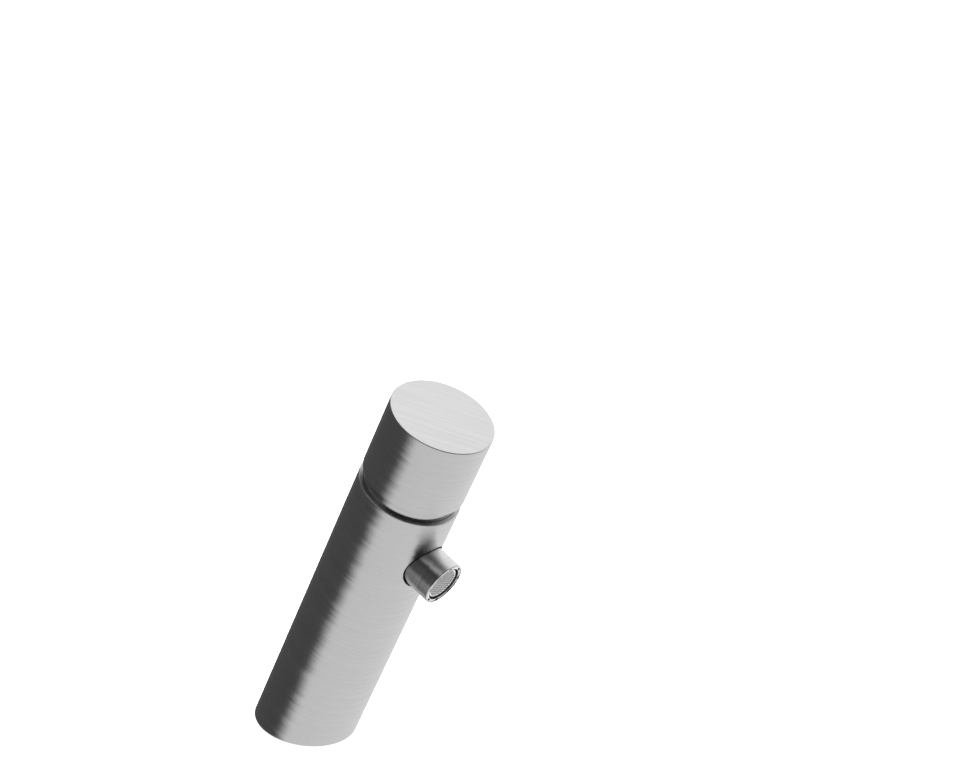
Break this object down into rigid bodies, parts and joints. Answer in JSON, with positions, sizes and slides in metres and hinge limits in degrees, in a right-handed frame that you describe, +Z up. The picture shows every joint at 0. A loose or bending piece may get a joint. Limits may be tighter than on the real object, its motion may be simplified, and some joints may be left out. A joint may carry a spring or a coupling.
{
  "type": "single-hole basin mixer",
  "caption": "Leaning cylindrical basin mixer with a short stub spout, a recessed aerator and a turning handle of the body's diameter, fixed through one deck hole.",
  "frame": {"origin": "where the body's axis meets the deck's top face, in the middle of the base gasket's underside", "axes": "+Z up out of the deck, -Y forwards over the basin, where the body leans and the spout points, +X to the right as seen from the spout's side looking along +Y"},
  "size_m": [0.048, 0.1015, 0.2399],
  "materials": {
    "brushed_body": "brushed stainless, lines round the body",
    "brushed_handle": "brushed stainless, lines round the side and straight across the top",
    "brushed_spout": "brushed stainless, lines round the spout",
    "neck_steel": "finely turned stainless",
    "brass_block": "machined",
    "brass_nut": "machined",
    "brass_spindle": "turned",
    "zinc_steel": "bright zinc plated",
    "pipe_steel": "drawn tube",
    "screen_steel": "perforated sheet",
    "black_rubber": "matt moulded",
    "seal_rubber": "smooth moulded",
    "aerator_chrome": "bright plated",
    "jet_plastic": "grey moulded",
    "regulator_plastic": "grey moulded",
    "cartridge_plastic": "pale moulded",
    "stop_plastic": "red moulded",
    "glide_plastic": "black moulded",
    "white_ceramic": "lapped alumina"
  },
  "bodies": {
    "body": {"body_tube": "brushed_body", "base_block": "brass_block", "base_gasket": "black_rubber", "fixing_stud": "zinc_steel", "clamp_pad": "black_rubber", "clamp_washer": "zinc_steel", "fixing_nut": "brass_nut", "hot_riser": "pipe_steel", "cold_riser": "pipe_steel", "riser_o_rings": "seal_rubber", "valve_block": "brass_block", "spout_tube": "brushed_spout", "spout_o_ring": "seal_rubber", "aerator_cage": "aerator_chrome", "aerator_jet_disc": "jet_plastic", "flow_regulator": "regulator_plastic", "inlet_screen": "screen_steel", "aerator_seal": "seal_rubber", "cartridge_base": "cartridge_plastic", "port_seals": "seal_rubber", "fixed_disc": "white_ceramic", "cartridge_housing": "cartridge_plastic", "housing_o_ring": "seal_rubber", "cartridge_nut": "brass_nut", "glide_ring": "glide_plastic"},
    "handle": {"moving_disc": "white_ceramic", "disc_carrier": "cartridge_plastic", "spindle": "brass_spindle", "spindle_o_ring": "seal_rubber", "stop_ring": "stop_plastic", "handle_shell": "brushed_handle", "handle_insert": "neck_steel", "grub_screw": "zinc_steel"}
  },
  "joints": [
    {"name": "handle_turn", "type": "hinge", "parent": "body", "child": "handle", "pos_m": [0, 0, 0], "axis": [0, -0.309, 0.9511], "range_deg": [0, 100]}
  ]
}
